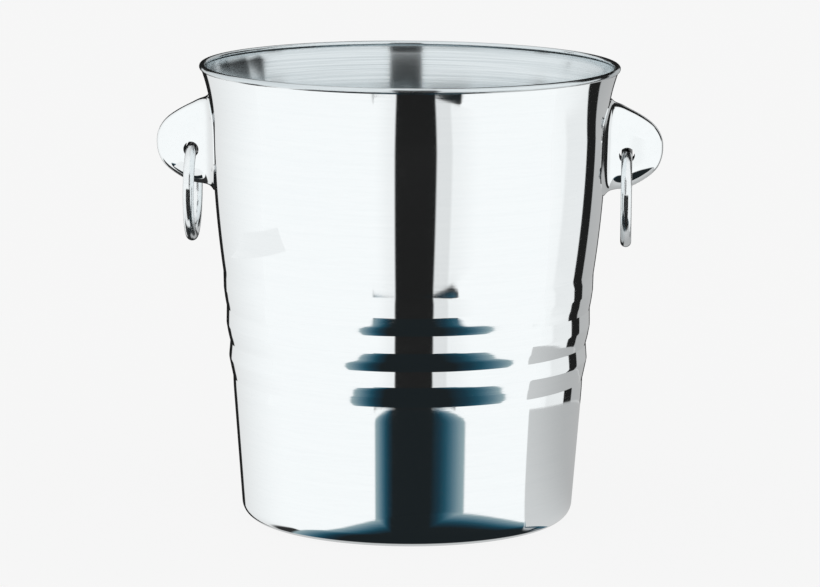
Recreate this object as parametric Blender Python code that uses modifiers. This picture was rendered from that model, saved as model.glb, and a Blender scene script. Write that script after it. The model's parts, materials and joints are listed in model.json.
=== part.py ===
"""Silver champagne bucket: a spun shell with three rolled beads, and a loose ring hung in a cast ear on each side.

Metres, +Z up. The origin is the middle of the base, on the surface that the bucket stands on. The ears are on +X and -X.
"""

import math

import bmesh
import bpy
from mathutils import Matrix, Vector

MM = 0.001
GAP = 0.3 * MM  # between pieces that touch

# Shell: outside radii, and heights above the base.
HEIGHT = 218.0 * MM
RIM_RADIUS = 100.0 * MM
SHEET = 0.9 * MM
LIP_RADIUS = 1.4 * MM
LIP_START, LIP_END = math.radians(225.0), math.radians(-75.0)
NECK_TOP = Vector((98.96, 215.25)) * MM
WALL_TOP = Vector((93.9, 187.0)) * MM
BEADS_TOP = Vector((88.45, 118.8)) * MM
BEAD_NOTCHES = [Vector(p) * MM for p in ((86.6, 101.8), (85.2, 84.9), (84.1, 67.8))]
WALL_FOOT = Vector((79.3, 8.0)) * MM
CORNER_RADIUS = 7.4 * MM
STANDING_RADIUS = 58.0 * MM  # inner edge of the flat ring that the bucket stands on
KICK_RADIUS, KICK_HEIGHT = 50.0 * MM, 3.0 * MM
WALL_BULGE = 1.2 * MM
BEAD_BULGE = 0.85 * MM
TURN_STEPS = 60

# Ear: stations from the wall out to the tip, as (reach beyond the wall, top, bottom, half thickness). Near the wall
# a station bends round it, and past EAR_STRAIGHTENS it is flat.
EAR_WALL = 93.6 * MM  # the wall's radius at the middle of an ear
EAR_ROOT = 84.0 * MM  # plane inside the bucket, where the loft starts before it is cut to the wall
EAR_STATIONS = [
    Vector(s) * MM
    for s in (
        (0.5, 202.3, 156.4, 22.0),
        (1.0, 201.9, 157.0, 18.2),
        (1.6, 201.5, 157.7, 15.2),
        (2.6, 201.0, 158.5, 12.6),
        (4.2, 200.5, 159.1, 10.7),
        (6.6, 199.8, 159.5, 9.3),
        (10.0, 198.3, 160.1, 8.1),
        (14.0, 196.3, 161.8, 7.4),
        (18.4, 193.7, 164.4, 6.8),
        (22.6, 190.4, 167.7, 5.7),
        (25.2, 186.9, 171.3, 4.4),
        (26.6, 183.4, 175.4, 2.6),
    )
]
EAR_TIP = Vector((120.6, 0.0, 179.4)) * MM
EAR_STRAIGHTENS = 12.0 * MM
EAR_SQUARENESS = 2.4  # exponent of a station's superellipse
EAR_SIDES = 20

# Ring and the hole in the ear that it hangs in.
HOLE = Vector((103.5, 0.0, 176.5)) * MM
HOLE_RADIUS = 3.75 * MM
WIRE_RADIUS = 2.6 * MM
RING_RADIUS = 21.5 * MM
RING_RISE = 0.77 * MM  # top of the wire's centreline above the hole's centre

# Fasteners, along an axis square to the wall: 0 is the wall's outside, positive is outwards.
SCREW_HEIGHTS = {"lower": 166.0 * MM, "upper": 190.0 * MM}
SHANK_RADIUS, SHANK_TIP = 2.4 * MM, 9.0 * MM
HEAD_RADIUS, HEAD_THICKNESS = 4.6 * MM, 2.6 * MM
WALL_HOLE_RADIUS = 2.8 * MM
WASHER_RADIUS, WASHER_THICKNESS = 5.0 * MM, 1.0 * MM
WASHER_FACE = -(SHEET + 0.45 * MM)  # clear of the curved wall at the washer's edge
HEAD_FACE = WASHER_FACE - WASHER_THICKNESS - GAP
RECESS_LENGTH, RECESS_WIDTH, RECESS_DEPTH = 4.6 * MM, 1.1 * MM, 1.5 * MM
FASTENER_SIDES = 16


def material(name, colour, roughness, metallic):
    """Returns a material with one Principled BSDF."""
    made = bpy.data.materials.new(name)
    made.use_nodes = True
    shader = made.node_tree.nodes["Principled BSDF"]
    shader.inputs["Base Color"].default_value = (*colour, 1.0)
    shader.inputs["Roughness"].default_value = roughness
    shader.inputs["Metallic"].default_value = metallic
    return made


def place(obj, collection, parent=None):
    """Links an object to one collection, under a parent."""
    for old in list(obj.users_collection):
        old.objects.unlink(obj)
    collection.objects.link(obj)
    obj.parent = parent
    return obj


def finish(obj, skin, sharp_degrees=35.0):
    """Gives an object its material and smooth shading."""
    obj.data.materials.clear()
    obj.data.materials.append(skin)
    obj.data.shade_smooth()
    obj.data.set_sharp_from_angle(angle=math.radians(sharp_degrees))
    return obj


def arc(centre, radius, start, end, steps):
    """Returns the points of an arc from one angle to another, both ends in."""
    angles = [start + (end - start) * i / steps for i in range(steps + 1)]
    return [centre + radius * Vector((math.cos(a), math.sin(a))) for a in angles]


def bowed(start, end, bulge, steps):
    """Returns points from start to end, the start left out, on a line bowed outwards by bulge at its middle."""
    points = []
    for i in range(1, steps + 1):
        t = i / steps
        points.append(start.lerp(end, t) + Vector((4.0 * bulge * t * (1.0 - t), 0.0)))
    return points


def inside(points, thickness):
    """Returns an outline moved inwards by a sheet's thickness, with mitred corners. The points run down the outside."""
    moved = []
    for i, point in enumerate(points):
        before = (point - points[i - 1]).normalized() if i else None
        after = (points[i + 1] - point).normalized() if i + 1 < len(points) else None
        before, after = before or after, after or before
        inward = Vector((before.y, -before.x)) + Vector((after.y, -after.x))
        inward.normalize()
        moved.append(point + inward * thickness / inward.dot(Vector((before.y, -before.x))))
    return moved


def wall_outline():
    """Returns the outside of the sheet from below the lip to the middle of the base."""
    points = [NECK_TOP]
    points += bowed(NECK_TOP, WALL_TOP, -WALL_BULGE, 3)
    points += bowed(WALL_TOP, BEADS_TOP, WALL_BULGE, 4)
    for notch in BEAD_NOTCHES:
        points += bowed(points[-1], notch, BEAD_BULGE, 3)
    corner = Vector((WALL_FOOT.x - CORNER_RADIUS, CORNER_RADIUS))
    points += arc(corner, CORNER_RADIUS, 0.0, -math.pi / 2.0, 3)
    points += [Vector((STANDING_RADIUS, 0.0)), Vector((KICK_RADIUS, KICK_HEIGHT)), Vector((0.0, KICK_HEIGHT))]
    return points


def wall_at(height):
    """Returns the outside radius and the slope, radius over height, of the sheet at a height."""
    outline = wall_outline()
    for upper, lower in zip(outline, outline[1:]):
        if lower.y <= height <= upper.y:
            slope = (upper.x - lower.x) / (upper.y - lower.y)
            return lower.x + slope * (height - lower.y), slope
    raise ValueError("no wall at that height")


def turned(name, profile, steps, closed=False):
    """Returns an object turned about Z from a profile of (radius, height) points."""
    mesh = bpy.data.meshes.new(name)
    edges = [(i, i + 1) for i in range(len(profile) - 1)]
    if closed:
        edges.append((len(profile) - 1, 0))
    mesh.from_pydata([(p.x, 0.0, p.y) for p in profile], edges, [])
    obj = bpy.data.objects.new(name, mesh)
    screw = obj.modifiers.new("turn", "SCREW")
    screw.steps = screw.render_steps = steps
    screw.use_merge_vertices = True
    screw.merge_threshold = 0.00001
    screw.use_smooth_shade = True
    return obj


def cut(obj, cutter):
    """Cuts one object with another."""
    boolean = obj.modifiers.new(f"cut by {cutter.name}", "BOOLEAN")
    boolean.operation = "DIFFERENCE"
    boolean.solver = "EXACT"
    boolean.object = cutter


def as_cutter(obj, collection, parent=None):
    """Hides an object that only cuts others."""
    obj.hide_render = True
    obj.display_type = "WIRE"
    return place(obj, collection, parent)


def rod(name, radius, start, end, sides=FASTENER_SIDES):
    """Returns a cylinder about Z whose flats are at the given radius."""
    mesh = bpy.data.meshes.new(name)
    made = bmesh.new()
    corner = radius / math.cos(math.pi / sides)
    bmesh.ops.create_cone(made, cap_ends=True, segments=sides, radius1=corner, radius2=corner, depth=end - start)
    bmesh.ops.translate(made, verts=made.verts, vec=(0.0, 0.0, (start + end) / 2.0))
    made.to_mesh(mesh)
    made.free()
    return bpy.data.objects.new(name, mesh)


def shell(parts):
    """Makes the spun shell, with its lip curled over the outside."""
    outside = wall_outline()
    lip = Vector((RIM_RADIUS - LIP_RADIUS, HEIGHT - LIP_RADIUS))
    profile = inside(outside, SHEET)[::-1][:-1]
    profile += arc(lip, LIP_RADIUS, LIP_START, LIP_END, 7) + outside[1:]
    profile[0].x = 0.0
    obj = turned("bucket_shell", profile, TURN_STEPS)
    return place(obj, parts)


def wall_cutter(cutters):
    """Makes the solid that shapes the back of an ear to the wall."""
    reach = 6.0 * MM
    top, bottom = EAR_STATIONS[0].y + reach, EAR_STATIONS[0].z - reach
    profile = [Vector((0.0, top)), Vector((wall_at(top)[0] + GAP, top))]
    profile += [p + Vector((GAP, 0.0)) for p in wall_outline() if bottom < p.y < top]
    profile += [Vector((wall_at(bottom)[0] + GAP, bottom)), Vector((0.0, bottom))]
    return as_cutter(turned("wall_cutter", profile, TURN_STEPS), cutters)


def station(reach, top, bottom, half):
    """Returns the points of one of the ear's stations, as a superellipse across the ear."""
    points = []
    for i in range(EAR_SIDES):
        turn = 2.0 * math.pi * i / EAR_SIDES
        across, up = math.cos(turn), math.sin(turn)
        y = half * math.copysign(abs(across) ** (2.0 / EAR_SQUARENESS), across)
        lift = math.copysign(abs(up) ** (2.0 / EAR_SQUARENESS), up)
        z = (top + bottom) / 2.0 + (top - bottom) / 2.0 * lift
        wall = math.sqrt(wall_at(z)[0] ** 2 - y**2)
        follow = max(0.0, 1.0 - max(0.0, reach) / EAR_STRAIGHTENS)
        points.append(Vector((EAR_WALL + reach + follow * (wall - EAR_WALL), y, z)))
    return points


def ear(name, parts, parent):
    """Makes a cast ear on +X as a loft through its stations."""
    foot = station(*EAR_STATIONS[0])
    outlines = [[Vector((EAR_ROOT, p.y, p.z)) for p in foot], foot]
    outlines += [station(*s) for s in EAR_STATIONS[1:]]
    made = bmesh.new()
    loops = [[made.verts.new(p) for p in outline] for outline in outlines]
    tip = made.verts.new(EAR_TIP)
    made.faces.new(loops[0])
    for i in range(EAR_SIDES):
        after = (i + 1) % EAR_SIDES
        for inner, outer in zip(loops, loops[1:]):
            made.faces.new((inner[i], inner[after], outer[after], outer[i]))
        made.faces.new((loops[-1][i], loops[-1][after], tip))
    bmesh.ops.recalc_face_normals(made, faces=made.faces)
    mesh = bpy.data.meshes.new(name)
    made.to_mesh(mesh)
    made.free()
    return place(bpy.data.objects.new(name, mesh), parts, parent)


def ring(name, parts, parent):
    """Makes a closed wire ring that hangs in the YZ plane, its origin on the axis that it swings about."""
    bpy.ops.mesh.primitive_torus_add(
        major_segments=40, minor_segments=8, major_radius=RING_RADIUS, minor_radius=WIRE_RADIUS
    )
    obj = bpy.context.object
    obj.name = obj.data.name = name
    hang = Matrix.Translation((0.0, 0.0, RING_RISE - RING_RADIUS))
    obj.data.transform(hang @ Matrix.Rotation(math.pi / 2.0, 4, "Y"))
    obj.location = HOLE
    return place(obj, parts, parent)


def fastener_frame(height):
    """Returns the place of a fastener: Z square to the wall on +X, outwards, and 0 at the wall's outside."""
    radius, slope = wall_at(height)
    lean = Matrix.Rotation(math.pi / 2.0 + math.atan(slope), 4, "Y")
    return Matrix.Translation((radius, 0.0, height)) @ lean


def screw(name, frame, parts, cutters, parent):
    """Makes a pan-head screw with a cross recess."""
    back = HEAD_FACE - HEAD_THICKNESS
    round_off = 1.2 * MM
    shoulder = Vector((HEAD_RADIUS - round_off, back + round_off))
    head = arc(shoulder, round_off, -math.pi / 2.0, 0.0, 3)
    point = Vector((SHANK_RADIUS - 0.8 * MM, SHANK_TIP))
    shank = [Vector((SHANK_RADIUS, HEAD_FACE)), Vector((SHANK_RADIUS, SHANK_TIP - 0.8 * MM)), point]
    outline = [Vector((0.0, back)), *head, Vector((HEAD_RADIUS, HEAD_FACE)), *shank, Vector((0.0, SHANK_TIP))]
    obj = turned(name, outline[::-1], FASTENER_SIDES)
    obj.matrix_local = frame
    place(obj, parts, parent)
    for i, turn in enumerate((0.0, math.pi / 2.0)):
        blade = bpy.data.objects.new(f"{name}_recess_{i}", bpy.data.meshes.new(f"{name}_recess_{i}"))
        made = bmesh.new()
        bmesh.ops.create_cube(made, size=1.0)
        bmesh.ops.scale(made, verts=made.verts, vec=(RECESS_LENGTH, RECESS_WIDTH, 2.0 * RECESS_DEPTH))
        made.to_mesh(blade.data)
        made.free()
        blade.matrix_local = frame @ Matrix.Translation((0.0, 0.0, back)) @ Matrix.Rotation(turn, 4, "Z")
        cut(obj, as_cutter(blade, cutters, parent))
    return obj


def washer(name, frame, parts, parent):
    """Makes a flat sealing washer."""
    low, high = WASHER_FACE - WASHER_THICKNESS, WASHER_FACE
    bore = SHANK_RADIUS + GAP
    section = [(bore, low), (bore, high), (WASHER_RADIUS, high), (WASHER_RADIUS, low)]
    obj = turned(name, [Vector(p) for p in section], FASTENER_SIDES, closed=True)
    obj.matrix_local = frame
    return place(obj, parts, parent)


def main():
    for old in list(bpy.data.objects):
        bpy.data.objects.remove(old)
    parts = bpy.data.collections.new("champagne_bucket")
    cutters = bpy.data.collections.new("cutters")
    for collection in (parts, cutters):
        bpy.context.scene.collection.children.link(collection)

    polished = material("polished_steel", (0.82, 0.83, 0.84), 0.06, 1.0)
    cast = material("polished_casting", (0.80, 0.81, 0.82), 0.08, 1.0)
    wire = material("polished_wire", (0.78, 0.79, 0.80), 0.10, 1.0)
    plain = material("plain_steel", (0.60, 0.60, 0.61), 0.30, 1.0)
    rubber = material("grey_silicone", (0.16, 0.16, 0.17), 0.60, 0.0)

    bucket = shell(parts)
    back = wall_cutter(cutters)
    for side, turn in (("right", 0.0), ("left", math.pi)):
        flank = place(bpy.data.objects.new(f"{side}_side", None), parts)
        flank.rotation_euler.z = turn
        knob = ear(f"{side}_ear", parts, flank)
        cut(knob, back)
        hole = rod(f"{side}_ring_hole", HOLE_RADIUS, -20.0 * MM, 20.0 * MM, 24)
        hole.matrix_local = Matrix.Translation(HOLE) @ Matrix.Rotation(math.pi / 2.0, 4, "X")
        cut(knob, as_cutter(hole, cutters, flank))
        finish(ring(f"{side}_ring", parts, flank), wire)
        for level, height in SCREW_HEIGHTS.items():
            frame = fastener_frame(height)
            name = f"{side}_{level}"
            tapped = rod(f"{name}_tapped_hole", SHANK_RADIUS + GAP, HEAD_FACE, SHANK_TIP + 2.0 * GAP)
            through = rod(f"{name}_wall_hole", WALL_HOLE_RADIUS, HEAD_FACE, SHANK_TIP)
            for cutter, target in ((tapped, knob), (through, bucket)):
                cutter.matrix_local = frame
                cut(target, as_cutter(cutter, cutters, flank))
            finish(screw(f"{name}_screw", frame, parts, cutters, flank), plain)
            finish(washer(f"{name}_washer", frame, parts, flank), rubber)
        finish(knob, cast)
    finish(bucket, polished)


if __name__ == "__main__":
    main()
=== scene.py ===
"""Looks of the silver champagne bucket: fine meshes round the CAD frame, metal finishes, and the studio.

Metres, +Z up. The bucket's axis is Z, its ears are on +X and -X, and it stands on Z = 0.
"""

import json
import logging
import math
from collections.abc import Sequence
from dataclasses import dataclass, field
from enum import Enum
from typing import Any

import bmesh
import bpy
import numpy as np
from mathutils import Matrix, Quaternion, Vector


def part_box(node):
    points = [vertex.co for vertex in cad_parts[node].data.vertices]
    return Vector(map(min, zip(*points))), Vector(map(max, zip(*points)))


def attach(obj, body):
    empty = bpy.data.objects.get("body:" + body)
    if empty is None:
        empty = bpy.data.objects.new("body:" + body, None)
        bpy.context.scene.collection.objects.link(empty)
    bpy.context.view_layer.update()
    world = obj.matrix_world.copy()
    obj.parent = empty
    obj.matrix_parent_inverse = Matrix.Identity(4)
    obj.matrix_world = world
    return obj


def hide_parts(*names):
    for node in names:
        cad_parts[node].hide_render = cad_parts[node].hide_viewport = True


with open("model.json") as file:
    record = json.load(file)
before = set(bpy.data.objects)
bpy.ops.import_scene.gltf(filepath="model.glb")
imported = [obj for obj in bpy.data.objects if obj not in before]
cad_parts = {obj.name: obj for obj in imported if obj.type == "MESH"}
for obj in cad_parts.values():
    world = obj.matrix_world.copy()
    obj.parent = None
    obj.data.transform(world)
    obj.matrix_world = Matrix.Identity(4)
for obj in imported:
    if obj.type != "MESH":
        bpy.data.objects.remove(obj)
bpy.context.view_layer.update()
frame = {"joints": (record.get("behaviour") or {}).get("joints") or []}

MM = 0.001
BUCKET_RADIUS = 90 * MM
log = logging.getLogger("champagne_bucket")

Profile = list[Vector]
Colour = tuple[float, float, float]


class Side(Enum):
    """The two sides that carry an ear and a ring. The value is the turn about Z from the right side."""

    RIGHT = 0.0
    LEFT = math.pi

    @property
    def word(self) -> str:
        """The side's name as the CAD nodes use it."""
        return self.name.lower()

    @property
    def turn(self) -> Matrix:
        """The matrix that takes a piece made on +X to this side."""
        return Matrix.Rotation(self.value, 4, "Z")


class Level(Enum):
    """The two screws of an ear. The value is the height of the screw's axis at the wall."""

    LOWER = 166.0 * MM
    UPPER = 190.0 * MM


class Zone(Enum):
    """The two surfaces of the sheet, as the profile's points are marked."""

    OUTSIDE = 0.0
    LINING = 1.0


# ---------------------------------------------------------------- shader maths


class Value:
    """A number socket in a node tree, so that shader maths reads as arithmetic."""

    def __init__(self, tree: "Nodes", socket: bpy.types.NodeSocket) -> None:
        """Wraps an output socket of a tree."""
        self.tree, self.socket = tree, socket

    def maths(self, operation: str, *others: "Value | float") -> "Value":
        """Adds a Math node.

        Args:
            operation: the Math node's operation.
            others: its second and third values.

        Returns:
            The node's result.
        """
        inputs = dict(enumerate((self, *others)))
        return Value(self.tree, self.tree.add("ShaderNodeMath", {"operation": operation}, inputs).outputs[0])

    def __add__(self, other: "Value | float") -> "Value":
        """Sum."""
        return self.maths("ADD", other)

    def __sub__(self, other: "Value | float") -> "Value":
        """Difference."""
        return self.maths("SUBTRACT", other)

    def __mul__(self, other: "Value | float") -> "Value":
        """Product."""
        return self.maths("MULTIPLY", other)

    def __truediv__(self, other: "Value | float") -> "Value":
        """Quotient."""
        return self.maths("DIVIDE", other)

    def __rsub__(self, other: float) -> "Value":
        """A number less this value."""
        return self * -1.0 + other

    __radd__, __rmul__ = __add__, __mul__

    def rises(self, low: float, high: float) -> "Value":
        """A smooth step.

        Args:
            low: where it is 0.
            high: where it is 1.

        Returns:
            The step.
        """
        settings = {"interpolation_type": "SMOOTHSTEP"}
        inputs = {"Value": self, "From Min": low, "From Max": high}
        return Value(self.tree, self.tree.add("ShaderNodeMapRange", settings, inputs).outputs["Result"])

    def falls(self, low: float, high: float) -> "Value":
        """A smooth step from 1 at low to 0 at high."""
        return 1.0 - self.rises(low, high)

    def within(self, low: float, high: float, soft: float) -> "Value":
        """1 between low and high, with edges of the given softness, and 0 outside."""
        return self.rises(low - soft, low + soft) * self.falls(high - soft, high + soft)

    def over(self, level: "Value | float", mask: "Value") -> "Value":
        """This value with another laid over it where a mask is 1."""
        return self * (1.0 - mask) + mask * level


Fed = Value | bpy.types.NodeSocket | float | str | Sequence[float] | bpy.types.ID


class Tree:
    """A node tree, with short words for its nodes and links."""

    tree: bpy.types.NodeTree

    def feed(self, socket: bpy.types.NodeSocket, value: Fed) -> None:
        """Links a socket, or sets it to a constant.

        Args:
            socket: an input.
            value: an output, a Value, or a constant. A colour may leave its alpha out.
        """
        if isinstance(value, Value):
            value = value.socket
        if isinstance(value, bpy.types.NodeSocket):
            self.tree.links.new(value, socket)
        elif isinstance(value, (tuple, list)):
            alpha = (1.0,) if socket.type == "RGBA" and len(value) == 3 else ()
            socket.default_value = (*value, *alpha)
        else:
            socket.default_value = value

    def add(
        self, kind: str, settings: dict[str, Any] | None = None, inputs: dict[str | int, Fed] | None = None
    ) -> bpy.types.Node:
        """Adds a node.

        Args:
            kind: the node's type.
            settings: properties, which are set first.
            inputs: constants or links, by the input's name or number.

        Returns:
            The node.
        """
        node = self.tree.nodes.new(kind)
        for name, value in (settings or {}).items():
            setattr(node, name, value)
        for name, value in (inputs or {}).items():
            self.feed(node.inputs[name], value)
        return node


class Nodes(Tree):
    """The nodes of a material or a world."""

    def __init__(self, owner: bpy.types.Material | bpy.types.World) -> None:
        """Empties the owner's node tree.

        Args:
            owner: the material or the world.
        """
        owner.use_nodes = True
        self.tree = owner.node_tree
        self.tree.nodes.clear()

    def place(self, output: str) -> tuple[Value, Value, Value]:
        """The x, y and z of one of Texture Coordinate's outputs.

        Args:
            output: the output's name.

        Returns:
            The three values.
        """
        coordinates = self.add("ShaderNodeTexCoord").outputs[output]
        split = self.add("ShaderNodeSeparateXYZ", inputs={0: coordinates})
        x, y, z = (Value(self, s) for s in split.outputs)
        return x, y, z

    def noise(self, vector: Sequence[Value], detail: float = 2.0, roughness: float = 0.5) -> Value:
        """Noise from 0 to 1 at a place given by three values.

        Args:
            vector: x, y and z, already scaled.
            detail: how many finer layers it has.
            roughness: how strong they are.

        Returns:
            The noise.
        """
        joined = self.add("ShaderNodeCombineXYZ", inputs=dict(enumerate(vector))).outputs[0]
        inputs = {"Vector": joined, "Scale": 1.0, "Detail": detail, "Roughness": roughness}
        return Value(self, self.add("ShaderNodeTexNoise", inputs=inputs).outputs["Fac"])

    def mix(self, factor: Fed, a: Fed, b: Fed) -> bpy.types.NodeSocket:
        """A colour between two colours."""
        node = self.add("ShaderNodeMix", {"data_type": "RGBA"}, {0: factor, 6: a, 7: b})
        return node.outputs[2]

    def ramp(self, factor: Fed, stops: Sequence[tuple[float, Colour]]) -> bpy.types.NodeSocket:
        """A colour that runs through stops of (place, colour).

        Args:
            factor: the place along the ramp.
            stops: places from 0 to 1, with their colours.

        Returns:
            The colour.
        """
        node = self.add("ShaderNodeValToRGB", inputs={0: factor})
        elements = node.color_ramp.elements
        while len(elements) < len(stops):
            elements.new(1.0)
        for element, (place, colour) in zip(elements, stops):
            element.position, element.color = place, (*colour, 1.0)
        return node.outputs[0]

    def bump(self, height: Value, depth: float) -> bpy.types.NodeSocket:
        """A normal from a height of 0 to 1 that stands for a depth in metres."""
        node = self.add("ShaderNodeBump", inputs={"Height": height, "Strength": 1.0, "Distance": depth})
        return node.outputs["Normal"]


# -------------------------------------------------------------------- finishes


@dataclass(frozen=True)
class Finish:
    """A metal finish with fine lines, left round Z by the wheel or the belt.

    The colour varies between `colour` and `shade`. A line is `line_height` wide, `line_length` long and
    `line_depth` deep.
    """

    name: str
    colour: Colour
    shade: Colour
    roughness: float
    roughness_spread: float
    line_depth: float
    line_height: float
    line_length: float
    anisotropy: float = 0.0
    metallic: float = 1.0
    specular: float = 0.5
    # The grain values between which the colour changes.
    grain_range: tuple[float, float] = (0.35, 0.7)
    # The scale of the slow variation, round the axis and, as a share of the fine lines' scale, along it.
    slow_turn: float = 0.8
    slow_rise: float = 0.3

    def lines(self, nodes: Nodes) -> tuple[Value, Value]:
        """Noise drawn out along the lines.

        Args:
            nodes: the material's nodes.

        Returns:
            The fine lines, and a slow variation with the same grain.
        """
        x, y, z = nodes.place("Object")
        radius = (x * x + y * y).maths("SQRT") + 0.01 * MM
        # Cosine and sine of the turn, so that the pattern has no seam.
        turn_x, turn_y, along = x / radius, y / radius, z + radius
        turns, rise = BUCKET_RADIUS / self.line_length, 1.0 / self.line_height
        fine = nodes.noise((turn_x * turns, turn_y * turns, along * rise), 2.0, 0.6)
        slow_place = turn_x * self.slow_turn, turn_y * self.slow_turn, along * (self.slow_rise * rise)
        return fine, nodes.noise(slow_place, 3.0, 0.6)

    def tint(self, nodes: Nodes, grain: Value) -> bpy.types.NodeSocket:
        """The colour, which varies with the grain."""
        return nodes.mix(grain, self.colour, self.shade)

    def material(self) -> bpy.types.Material:
        """Builds the material.

        Returns:
            The material, under the name of the finish.
        """
        made = bpy.data.materials.new(self.name)
        nodes = Nodes(made)
        fine, slow = self.lines(nodes)
        grain = fine * 0.5 + slow * 0.5
        shader = nodes.add(
            "ShaderNodeBsdfPrincipled",
            inputs={
                "Base Color": self.tint(nodes, grain.rises(*self.grain_range)),
                "Roughness": (slow - 0.5) * self.roughness_spread + self.roughness,
                "Metallic": self.metallic,
                "Specular IOR Level": self.specular,
                "Anisotropic": self.anisotropy,
                "Anisotropic Rotation": 0.25,
                "Normal": nodes.bump(fine, self.line_depth),
            },
        )
        nodes.add("ShaderNodeOutputMaterial", inputs={"Surface": shader.outputs[0]})
        return made


MIRROR_POLISH = Finish(
    "polished_sheet",
    colour=(0.905, 0.940, 0.950),
    shade=(0.885, 0.922, 0.934),
    roughness=0.05,
    roughness_spread=0.05,
    line_depth=0.003 * MM,
    line_height=0.6 * MM,
    line_length=12 * MM,
    anisotropy=0.6,
)
SATIN_LINING = Finish(
    "brushed_lining",
    colour=(0.76, 0.815, 0.835),
    shade=(0.60, 0.66, 0.685),
    roughness=0.17,
    roughness_spread=0.08,
    line_depth=0.0016 * MM,
    line_height=0.4 * MM,
    line_length=60 * MM,
    anisotropy=0.94,
)


@dataclass(frozen=True)
class Casting(Finish):
    """A hand-polished casting: almost a mirror, with the softest unevenness."""

    def lines(self, nodes: Nodes) -> tuple[Value, Value]:
        """Even noise in place of lines, because a casting is polished in every direction.

        Args:
            nodes: the material's nodes.

        Returns:
            The fine unevenness and the slow one.
        """
        x, y, z = nodes.place("Object")
        fine_scale, slow_scale = 1.0 / self.line_height, 1.0 / self.line_length
        fine = nodes.noise((x * fine_scale, y * fine_scale, z * fine_scale), 2.0)
        slow = nodes.noise((x * slow_scale, y * slow_scale, z * slow_scale), 2.0)
        return fine, slow


@dataclass(frozen=True)
class RingWire(Casting):
    """The finish of a ring, painted near black where it passes through its ear: painted shade of the ear's
    hole, which stays on the wire whichever way it swings.
    """

    # How far from the ear's middle the painted shade ends, and the height over which it lies.
    rubbed: tuple[float, float] = (7.4 * MM, 8.6 * MM)
    rubbed_above: tuple[float, float] = (168 * MM, 169 * MM)
    # The near-black colour of the painted shade.
    rubbed_colour: Colour = (0.006, 0.007, 0.008)

    def tint(self, nodes: Nodes, grain: Value) -> bpy.types.NodeSocket:
        """The colour, with painted shade where the wire lies inside the ear's hole.

        Args:
            nodes: the material's nodes.
            grain: the grain, from 0 to 1.

        Returns:
            The colour.
        """
        _, y, z = nodes.place("Object")
        # Painted shade: the wire is darkened where it lies inside the ear's hole.
        rubbed = y.maths("ABSOLUTE").falls(*self.rubbed) * z.rises(*self.rubbed_above)
        return nodes.mix(rubbed, super().tint(nodes, grain), self.rubbed_colour)


CAST_POLISH = Casting(
    "polished_casting",
    colour=(0.905, 0.940, 0.950),
    shade=(0.885, 0.920, 0.930),
    roughness=0.05,
    roughness_spread=0.04,
    line_depth=0.0012 * MM,
    line_height=1.6 * MM,
    line_length=9 * MM,
)
# The ring's finish, which carries painted shade where the wire lies in the ear's hole.
WIRE_POLISH = RingWire(
    "polished_wire",
    colour=(0.86, 0.895, 0.905),
    shade=(0.80, 0.835, 0.85),
    roughness=0.16,
    roughness_spread=0.06,
    line_depth=0.0008 * MM,
    line_height=0.9 * MM,
    line_length=6 * MM,
)
# Painted shade for the inside of the ears' cross-holes: near black and dull, standing for the hole's own
# shade.
SHADED_BORE = Casting(
    "bare_bore",
    colour=(0.012, 0.015, 0.016),
    shade=(0.008, 0.010, 0.011),
    roughness=0.85,
    roughness_spread=0.1,
    line_depth=0.005 * MM,
    line_height=0.3 * MM,
    line_length=2 * MM,
    metallic=0.0,
    specular=0.1,
)
SCREW_STEEL = Casting(
    "screw_steel",
    colour=(0.62, 0.63, 0.64),
    shade=(0.52, 0.53, 0.54),
    roughness=0.24,
    roughness_spread=0.12,
    line_depth=0.003 * MM,
    line_height=0.5 * MM,
    line_length=3 * MM,
)
SILICONE = Casting(
    "grey_silicone",
    colour=(0.045, 0.047, 0.050),
    shade=(0.030, 0.032, 0.035),
    roughness=0.55,
    roughness_spread=0.15,
    line_depth=0.015 * MM,
    line_height=0.3 * MM,
    line_length=2 * MM,
    metallic=0.0,
)


# ------------------------------------------------------------------ mesh tools


def arc(centre: Vector, radius: float, start: float, end: float, steps: int) -> Profile:
    """The points of an arc from one angle to another, both ends in.

    Args:
        centre: the arc's centre.
        radius: its radius.
        start: the first angle, in radians.
        end: the last angle.
        steps: how many steps it takes.

    Returns:
        The points.
    """
    angles = np.linspace(start, end, steps + 1)
    return [centre + radius * Vector((math.cos(a), math.sin(a))) for a in angles]


def bowed(start: Vector, end: Vector, bulge: float, steps: int) -> Profile:
    """Points from start to end, both in, on a line bowed outwards by bulge at its middle.

    Args:
        start: the first point.
        end: the last point.
        bulge: how far the middle stands out.
        steps: how many steps it takes.

    Returns:
        The points.
    """
    ts = [i / steps for i in range(steps + 1)]
    return [start.lerp(end, t) + Vector((4.0 * bulge * t * (1.0 - t), 0.0)) for t in ts]


def rounded(
    corners: Sequence[tuple[float, float, float]], degrees_a_step: float = 4.0, longest_step: float = 0.8
) -> Profile:
    """A polyline whose corners are rounded.

    Args:
        corners: (radius from the axis, height, corner radius), in millimetres. The ends stay sharp.
        degrees_a_step: how far one step of an arc turns at most.
        longest_step: the length of one step of an arc at most, in millimetres.

    Returns:
        The points, in metres.
    """
    places = [Vector(c[:2]) * MM for c in corners]
    points = [places[0]]
    for before, at, after, corner in zip(places, places[1:], places[2:], corners[1:]):
        into, out = (at - before).normalized(), (after - at).normalized()
        bend = into.angle_signed(out)
        run = corner[2] * MM * math.tan(abs(bend) / 2.0)
        if run < 1e-9:
            points.append(at)
            continue
        by_turn, by_length = math.degrees(abs(bend)) / degrees_a_step, abs(bend) * corner[2] / longest_step
        steps = max(2, math.ceil(by_turn), math.ceil(by_length))
        start = at - into * run
        side = Vector((into.y, -into.x)) * math.copysign(corner[2] * MM, bend)
        centre = start + side
        for i in range(steps + 1):
            turn = Matrix.Rotation(-bend * i / steps, 2)
            points.append(centre + turn @ -side)
    return [*points, places[-1]]


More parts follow.
